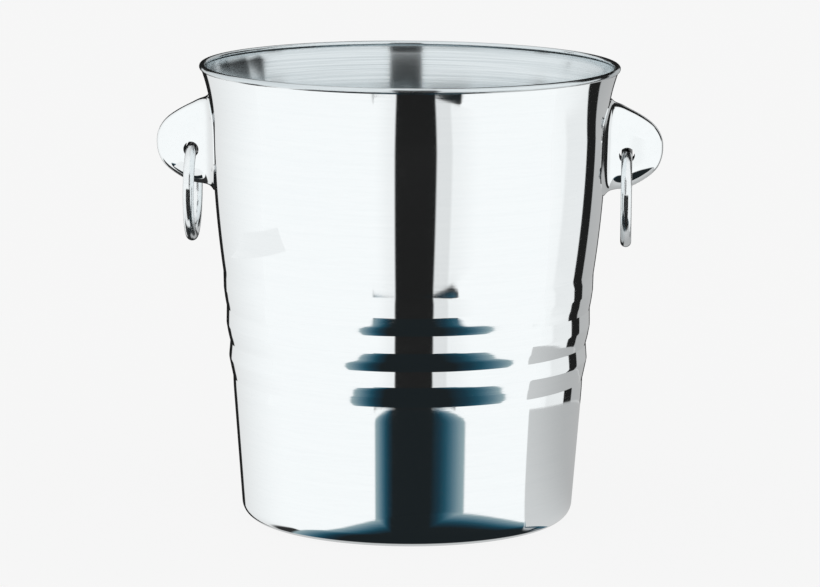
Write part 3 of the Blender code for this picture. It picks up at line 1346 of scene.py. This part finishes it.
@dataclass
class Studio:
    """The floor, the light and the camera.

    The light is a white tent with a dark opening in front, one behind and a gap on the right, as it is set
    for polished metal. Angles are in degrees. A bearing is 0 in front, at -Y, and 90 at +X. A rise is 90
    overhead. Lengths ahead are along -Y.
    """

    camera_bearing: float = 3.0
    camera_distance: float = 2.0595
    camera_height: float = 0.4558
    camera_lens: float = 191.6
    camera_sensor: float = 36.0
    camera_reach: float = 60.0
    camera_roll: float = 0.407
    camera_aim: Vector = field(default_factory=lambda: Vector((0.0008, 0.0, 0.1073)))
    # The floor shows this much light of its own, and a little more paper near the bucket, between two radii.
    floor_level: float = 0.925
    floor_glow: tuple[float, float] = (0.96, 1.0)
    floor_near: tuple[float, float] = (120 * MM, 600 * MM)
    floor_paper: float = 0.97
    floor_radii: tuple[float, float, float] = (0.5, 1.2, 2.5)
    floor_sides: int = 96
    cove_steps: int = 12
    floor_radius: float = 4.0
    cove_radius: float = 1.5
    cove_height: float = 4.0
    # The front opening, and the flat panel on which the wall sees it.
    opening: tuple[float, float] = (-5.2, 18.6)
    panel_ahead: float = 300 * MM
    # The point behind the mirror wall from which bearings on near cards are taken.
    focus: tuple[float, float] = (2.3 * MM, 45 * MM)
    gap_radius: float = 352 * MM
    # Beyond this radius the gap is only as wide as from one x to the other.
    gap_neck: tuple[float, float, float] = (292 * MM, -92 * MM, 170 * MM)
    # The dark pool on the floor round the bucket: its middle (x, ahead) and radius.
    pool: tuple[float, float, float] = (15 * MM, 56 * MM, 67 * MM)
    # The flags that give the rings a dark core: middle, half width, distance ahead, bottom and top.
    flag: tuple[float, float, float, float, float] = (103.5 * MM, 8 * MM, 31 * MM, 116 * MM, 161 * MM)
    # How much darker the tent gets towards the back, and between which bearings.
    back_shade: float = 0.24
    back_bearings: tuple[float, float] = (85.0, 172.0)
    patches: tuple[Patch, ...] = (
        # The greyer panel on the right, and the black gap beside it.
        Patch(0.86, (107.0, 129.0, 2.0), (-20.0, 40.0, 4.0)),
        Patch(BLACK, (129.2, 142.0, 0.6), (-44.0, 28.0, 3.0)),
        # The opening behind.
        Patch(BLACK, (171.75, OPEN, 0.75), (-24.0, 22.0, 3.0)),
        Patch(BLACK, (-OPEN, -171.75, 0.75), (-24.0, 22.0, 3.0)),
        # What the lining and the two edges of the wall see over the rim and past it.
        Patch(BLACK, (170.0, OPEN, 2.0), (-OPEN, 63.0, 3.0)),
        Patch(BLACK, (-OPEN, -154.75, 0.75), (-OPEN, 22.0, 4.0)),
        Patch(BLACK, (111.0, 130.0, 1.5), (5.0, 32.0, 3.0)),
        Patch(BLACK, (-170.0, -143.0, 1.0), (5.0, 32.0, 3.0)),
        # The dim floor behind, seen along the undersides of the ears.
        Patch(0.03, (-OPEN, -96.0, 4.0), (-78.0, -36.0, 3.0)),
        Patch(0.42, (96.0, OPEN, 4.0), (-78.0, -46.0, 3.0)),
    )
    ear_card_level: float = 0.93
    # Degrees down at which the dark floor starts, is as wide as its shoulders, widens, and widens fast.
    dark_down: tuple[float, float, float, float] = (14.2, 18.3, 18.4, 25.3)
    # Its spread on the right and on the left: the edge at the start, the shoulder's width, what each degree
    # adds where it widens and where it widens fast, and the furthest it goes.
    dark_right: tuple[float, float, float, float, float] = (18.6, 22.4, 1.0, 4.3, 88.0)
    dark_left: tuple[float, float, float, float, float] = (-5.2, -13.1, -0.25, -1.9, -92.0)
    # The core of it, on the right and on the left: the edge, and what each fast degree adds.
    core_right: tuple[float, float] = (18.8, 1.6)
    core_left: tuple[float, float] = (-6.5, -0.8)
    # Degrees down at which the look past the foot turns all dark, and at which it turns black.
    all_dark: tuple[float, float] = (62.0, 70.0)
    all_black: tuple[float, float] = (37.0, 47.0)
    # Degrees down at which the opening starts.
    opening_down: tuple[float, float] = (6.0, 8.0)
    # The softness of the dark floor's and the opening's edges.
    edge: float = 0.7
    # The greyer white beside the opening: how much darker, between two bearings. The middle splits its sides.
    beside_right: Shade = (0.14, 26.5, 28.5)
    beyond_right: Shade = (0.08, 28.0, 46.0)
    beside_left: Shade = (0.09, -18.0, -6.0)
    middle: tuple[float, float] = (7.0, 8.0)
    # The grey beyond the gap on the right: its bearings, the rises at which it ends, and how it gets lighter.
    beyond_bearings: Band = (135.0, 174.0, 1.0)
    beyond_rises: tuple[float, float] = (20.0, 45.0)
    beyond_level: float = 0.42
    beyond_light: Shade = (0.14, -25.0, 12.0)
    # The grey part of the floor card: from x, up to a distance ahead, and out to a radius.
    grey_x: tuple[float, float] = (60 * MM, 70 * MM)
    grey_ahead: tuple[float, float] = (51 * MM, 53 * MM)
    grey_radius: tuple[float, float] = (285 * MM, 295 * MM)
    grey_shade: float = 0.36
    grey_turn_shade: Shade = (0.18, 60.0, 120.0)
    # The bright foot under the bucket's base: its edge and its level.
    foot_radius: tuple[float, float] = (76 * MM, 76.8 * MM)
    foot_level: float = 0.56
    # The black strips on the floor card past the gap: how far they go, and how much wider than the opening
    # they start, on the left and on the right.
    strip_reach: float = 53 * MM
    strip_from: tuple[float, float] = (200 * MM, 210 * MM)
    strip_left: float = 13.8
    strip_right: float = 16.0
    # The pool's tones start at this share of its radius, and at these bearings: (first, width).
    pool_core: float = 0.7
    pool_right: tuple[float, float] = (19.0, 22.0)
    pool_left: tuple[float, float] = (8.0, 10.3)
    # From the dark floor's core to its edge.
    flank_tones: tuple[tuple[float, Colour], ...] = (
        (0.0, (0.012, 0.016, 0.018)),
        (0.25, (0.011, 0.037, 0.057)),
        (0.42, (0.016, 0.075, 0.113)),
        (0.56, (0.052, 0.133, 0.184)),
        (0.72, (0.132, 0.226, 0.276)),
        (1.0, (0.330, 0.425, 0.450)),
    )

    def front_level(self, bearing: Value) -> Value:
        """The brightness in front: white, greyer next to the opening, and black in it.

        Args:
            bearing: the bearing.

        Returns:
            The brightness.
        """
        (beside, *start), (beyond, *end) = self.beside_right, self.beyond_right
        right = bearing.falls(*start) * beside + bearing.falls(*end) * beyond
        left = bearing.rises(*self.beside_left[1:]) * self.beside_left[0]
        level = 1.0 - bearing.rises(*self.middle) * right - bearing.falls(*self.middle) * left
        return level.over(BLACK, bearing.within(*self.opening, self.edge))

    def tent(self) -> None:
        """Builds the world: the tent's brightness by direction."""
        world = bpy.data.worlds.new("studio_tent")
        bpy.context.scene.world = world
        nodes = Nodes(world)
        x, y, z = nodes.place("Generated")
        bearing = x.maths("ARCTAN2", y * -1.0) * (180.0 / math.pi)
        rise = z.maths("ARCSINE") * (180.0 / math.pi)
        level = 1.0 - bearing.maths("ABSOLUTE").rises(*self.back_bearings) * self.back_shade
        beyond = bearing.within(*self.beyond_bearings) * rise.falls(*self.beyond_rises)
        lighter, *between = self.beyond_light
        level = level.over(rise.rises(*between) * lighter + self.beyond_level, beyond)
        for patch in self.patches:
            level = level.over(patch.level, bearing.within(*patch.bearings) * rise.within(*patch.rises))
        down = rise * -1.0
        opening = bearing.within(*self.opening, self.edge) * down.rises(*self.opening_down)
        level = level.over(BLACK, opening)
        flank, spread = self.dark_floor(bearing, down)
        colour = nodes.mix(flank, self.grey(nodes, level * WHITE), nodes.ramp(spread, self.flank_tones))
        shade = nodes.add("ShaderNodeBackground", inputs={"Color": colour, "Strength": 1.0})
        nodes.add("ShaderNodeOutputWorld", inputs={"Surface": shade.outputs[0]})

    def dark_floor(self, bearing: Value, down: Value) -> tuple[Value, Value]:
        """The dark floor in front, seen in undersides: the steeper the look down, the wider it spreads.

        Args:
            bearing: the bearing.
            down: degrees down.

        Returns:
            Where it is, as a mask, and the place from its core, 0, to its edge, 1.
        """
        start, full, widens, fast = self.dark_down
        share = ((down - start) / (full - start)).maths("MAXIMUM", 0.0).maths("MINIMUM", 1.0)
        shoulder = share.maths("POWER", 0.5)
        flat = (down - widens).maths("MAXIMUM", 0.0)
        steep = (down - fast).maths("MAXIMUM", 0.0)
        first, wide, slow_widening, fast_widening, last = self.dark_right
        right = shoulder * wide + flat * slow_widening + steep * fast_widening + first
        right = right.maths("MINIMUM", last)
        first, wide, slow_widening, fast_widening, last = self.dark_left
        left = shoulder * wide + flat * slow_widening + steep * fast_widening + first
        left = left.maths("MAXIMUM", last)
        sides = (bearing - left).rises(-self.edge, self.edge) * (right - bearing).rises(-self.edge, self.edge)
        # Straight down, round the foot, there is nothing but the dark floor.
        mask = (sides * down.rises(start - 0.1, start + 0.1)).maths("MAXIMUM", down.rises(*self.all_dark))
        core_right = steep * self.core_right[1] + self.core_right[0]
        core_left = steep * self.core_left[1] + self.core_left[0]
        rightwards = (bearing - core_right) / (right - core_right).maths("MAXIMUM", 0.1)
        leftwards = (core_left - bearing) / (core_left - left).maths("MAXIMUM", 0.1)
        place = rightwards.maths("MAXIMUM", leftwards).maths("MAXIMUM", 0.0)
        return mask, place * down.falls(*self.all_black)

    def grey(self, nodes: Nodes, level: Value) -> bpy.types.NodeSocket:
        """A grey of a given brightness."""
        return nodes.add("ShaderNodeCombineColor", inputs=dict(enumerate([level] * 3))).outputs[0]

    def card(self, name: str, corners: Sequence[tuple[float, float, float]]) -> Nodes:
        """A flat card that shows in reflections and nowhere else.

        Args:
            name: the card's name.
            corners: (x, ahead, z) of its four corners.

        Returns:
            The nodes of its empty material.
        """
        mesh = bpy.data.meshes.new(name)
        mesh.from_pydata([(x, -ahead, z) for x, ahead, z in corners], [], [(0, 1, 2, 3)])
        made = bpy.data.materials.new(name)
        mesh.materials.append(made)
        card = new_object(name, mesh)
        card.visible_camera = card.visible_diffuse = card.visible_shadow = False
        card.visible_transmission = card.visible_volume_scatter = False
        return Nodes(made)

    def upright(self, name: str, left: float, right: float, ahead: float, low: float, high: float) -> Nodes:
        """An upright card across the view, from one x to another and from one height to another."""
        corners = [(left, ahead, low), (right, ahead, low), (right, ahead, high), (left, ahead, high)]
        return self.card(name, corners)

    def lying(self, name: str, left: float, right: float, near: float, far: float, height: float) -> Nodes:
        """A lying card, from one x to another and from one distance ahead to another."""
        corners = [(left, near, height), (right, near, height), (right, far, height), (left, far, height)]
        return self.card(name, corners)

    def light_up(self, nodes: Nodes, colour: Fed, cover: Fed | None = None) -> None:
        """Finishes a card's material.

        Args:
            nodes: the material's nodes.
            colour: what the card shows.
            cover: where the card is there, 1, and where it is open, 0. It is all there if this is left out.
        """
        surface = nodes.add("ShaderNodeEmission", inputs={"Color": colour, "Strength": 1.0}).outputs[0]
        if cover is not None:
            clear = nodes.add("ShaderNodeBsdfTransparent").outputs[0]
            surface = nodes.add("ShaderNodeMixShader", inputs={0: cover, 1: clear, 2: surface}).outputs[0]
        nodes.add("ShaderNodeOutputMaterial", inputs={"Surface": surface})

    def card_bearing(self, x: Value, ahead: Value) -> Value:
        """The bearing that the mirror wall gives to a point on a near card."""
        return (x - self.focus[0]).maths("ARCTAN2", ahead - self.focus[1]) * (180.0 / math.pi)

    def floor_card(self) -> None:
        """Lays the floor card: white, with a gap, a grey part on the right and a dark pool at the foot."""
        nodes = self.lying("floor_card", -3.0, 3.0, -350 * MM, 3.0, 0.2 * MM)
        x, y, _ = nodes.place("Object")
        ahead = y * -1.0
        radius = (x * x + y * y).maths("SQRT")
        turn = x.maths("ARCTAN2", ahead) * (180.0 / math.pi)
        neck, neck_left, neck_right = self.gap_neck
        aside_neck = 1.0 - x.within(neck_left, neck_right, 12 * MM)
        white = radius.rises(self.gap_radius - 3 * MM, self.gap_radius + 3 * MM)
        white = white.maths("MAXIMUM", radius.rises(neck - 8 * MM, neck + 8 * MM) * aside_neck)
        white = white * ahead.rises(-5 * MM, 5 * MM)
        grey = x.rises(*self.grey_x) * ahead.falls(*self.grey_ahead) * radius.falls(*self.grey_radius)
        middle_x, middle_ahead, reach = self.pool
        off_x, off_ahead = x - middle_x, ahead - middle_ahead
        off = (off_x * off_x + off_ahead * off_ahead).maths("SQRT")
        pool = off.falls(reach - 1.5 * MM, reach + 1.5 * MM) * (1.0 - grey)
        under = radius.falls(*self.foot_radius)
        bearing = self.card_bearing(x, ahead)
        (right, right_width), (left, left_width) = self.pool_right, self.pool_left
        aside = ((bearing - right) / right_width).maths("MAXIMUM", (bearing * -1.0 - left) / left_width)
        core = reach * self.pool_core
        spread = ((off - core) / (reach - core)).maths("MINIMUM", aside).maths("MAXIMUM", 0.0)
        turn_shade, *turns = self.grey_turn_shade
        level = 1.0 - turn.rises(*turns) * turn_shade * grey - grey * self.grey_shade
        level = level.over(self.foot_level, under) * WHITE
        level = level.over(BLACK, self.floor_strips(radius, bearing))
        dark = pool.maths("GREATER_THAN", 0.001) * (1.0 - under)
        colour = nodes.mix(dark, self.grey(nodes, level), nodes.ramp(spread, self.flank_tones))
        cover = white.maths("MAXIMUM", grey).maths("MAXIMUM", under).maths("MAXIMUM", pool)
        self.light_up(nodes, colour, cover)

    def floor_strips(self, radius: Value, bearing: Value) -> Value:
        """The start of the dark floor, which the steep strips under the lip and over the first bead see.

        Args:
            radius: the radius on the floor card.
            bearing: the bearing that the wall gives to it.

        Returns:
            The mask.
        """
        near = radius.falls(self.gap_radius, self.gap_radius + self.strip_reach)
        left, right = self.opening
        from_left = (bearing + near * self.strip_left - left).rises(-self.edge, self.edge)
        from_right = (near * self.strip_right + right - bearing).rises(-self.edge, self.edge)
        strip = from_left * from_right * radius.rises(*self.strip_from)
        return strip * near.maths("GREATER_THAN", 0.0)

    def front_panel(self) -> None:
        """Stands the panel in front, on which the wall sees the opening and its greyer edges."""
        nodes = self.upright("front_panel", -85 * MM, 265 * MM, self.panel_ahead, 16 * MM, 212 * MM)
        x, y, _ = nodes.place("Object")
        self.light_up(nodes, self.grey(nodes, self.front_level(self.card_bearing(x, y * -1.0)) * WHITE))

    def ear_card(self) -> None:
        """Lays a small pale card under the left ear, for the face over its dark underside."""
        nodes = self.lying("left_ear_card", -146 * MM, -97 * MM, 20 * MM, 84 * MM, 124 * MM)
        self.light_up(nodes, (self.ear_card_level,) * 3)

    def flag_card(self, name: str, left: float, right: float, ahead: float, low: float, high: float) -> None:
        """Hangs an upright black flag, which is only there on the side towards which it faces.

        Args:
            name: the flag's name.
            left: its x on the left, as seen from in front. With left and right swapped it faces the bucket.
            right: its x on the right.
            ahead: how far in front of the axis it hangs.
            low: the height of its foot.
            high: the height of its top.
        """
        nodes = self.upright(name, left, right, ahead, low, high)
        behind = Value(nodes, nodes.add("ShaderNodeNewGeometry").outputs["Backfacing"])
        self.light_up(nodes, (BLACK,) * 3, 1.0 - behind)

    def flags(self) -> None:
        """Hangs the black flags: over the front rim for the lining, by each ring, and behind each ear."""
        self.flag_card("rim_flag", 90 * MM, -28 * MM, self.panel_ahead, 226 * MM, 460 * MM)
        middle, half, ahead, low, high = self.flag
        for side in Side:
            at = math.cos(side.value) * middle
            self.flag_card(f"{side.word}_ring_flag", at + half, at - half, ahead, low, high)
        self.flag_card("right_ear_flag", 60 * MM, 320 * MM, -120 * MM, 252 * MM, 560 * MM)
        self.flag_card("left_ear_flag", -170 * MM, -60 * MM, -120 * MM, 282 * MM, 325 * MM)

    def floor(self) -> None:
        """Builds the pale floor, which sweeps up into the backdrop on every side."""
        cove = Vector((self.floor_radius, self.cove_radius))
        profile = [Vector((r, 0.0)) for r in self.floor_radii]
        profile += arc(cove, self.cove_radius, -math.pi / 2.0, 0.0, self.cove_steps)
        profile.append(Vector((self.floor_radius + self.cove_radius, self.cove_height)))
        made = bpy.data.materials.new("pale_floor")
        nodes = Nodes(made)
        x, y, _ = nodes.place("Object")
        far = (x * x + y * y).maths("SQRT").rises(*self.floor_near)
        paper = nodes.add("ShaderNodeBsdfDiffuse", inputs={"Color": (self.floor_paper,) * 3})
        glow_inputs = {"Color": (1.0, 1.0, 1.0), "Strength": self.floor_level}
        glow = nodes.add("ShaderNodeEmission", inputs=glow_inputs)
        least, most = self.floor_glow
        inputs = {0: far * (most - least) + least, 1: paper.outputs[0], 2: glow.outputs[0]}
        both = nodes.add("ShaderNodeMixShader", inputs=inputs)
        nodes.add("ShaderNodeOutputMaterial", inputs={"Surface": both.outputs[0]})
        work = bmesh.new()
        angles = np.arange(self.floor_sides) / self.floor_sides * math.tau
        loops = [
            [work.verts.new((p.x * math.cos(a), p.x * math.sin(a), p.y)) for a in angles] for p in profile
        ]
        work.faces.new(loops[0])
        for a, b in zip(loops, loops[1:]):
            for i in range(self.floor_sides):
                j = (i + 1) % self.floor_sides
                work.faces.new((a[i], b[i], b[j], a[j]))
        floor = new_object("pale_floor", work)
        floor.data.shade_smooth()
        floor.data.materials.append(made)
        floor.visible_diffuse = floor.visible_glossy = floor.visible_shadow = False

    def camera(self) -> None:
        """Sets the camera at the viewing angle."""
        data = bpy.data.cameras.new("camera")
        data.lens, data.sensor_width, data.clip_end = self.camera_lens, self.camera_sensor, self.camera_reach
        camera = bpy.data.objects.new("camera", data)
        bpy.context.scene.collection.objects.link(camera)
        bearing = math.radians(self.camera_bearing)
        away = Vector((math.sin(bearing), -math.cos(bearing), 0.0)) * self.camera_distance
        camera.location = away + Vector((0.0, 0.0, self.camera_height))
        look = (self.camera_aim - camera.location).to_track_quat("-Z", "Y")
        camera.rotation_mode = "QUATERNION"
        camera.rotation_quaternion = look @ Quaternion((0.0, 0.0, 1.0), math.radians(self.camera_roll))
        bpy.context.scene.camera = camera

    def build(self) -> None:
        """Builds the whole studio."""
        bpy.context.scene.view_settings.view_transform = "Standard"
        self.tent()
        self.floor()
        self.floor_card()
        self.front_panel()
        self.ear_card()
        self.flags()
        self.camera()
        log.info("studio: tent, floor, cards and camera")


def main() -> None:
    """Builds the pieces in order, then the studio."""
    logging.basicConfig(level=logging.INFO, format="%(name)s %(message)s")
    lathe = Lathe()
    shell = Shell(lathe)
    shell.build(MIRROR_POLISH.material(), SATIN_LINING.material())
    hinge = next(j for j in frame["joints"] if j["child"] == "right_ring")
    ear = Ear(shell, Vector(hinge["pos_m"]))
    cast, bore, wire = (finish.material() for finish in (CAST_POLISH, SHADED_BORE, WIRE_POLISH))
    ring = Ring(lathe)
    for side in Side:
        ear.build(side, cast, bore)
        ring.build(side, wire)
    Fasteners(lathe, shell).build(SCREW_STEEL.material(), SILICONE.material())
    Studio().build()


if __name__ == "__main__":
    main()
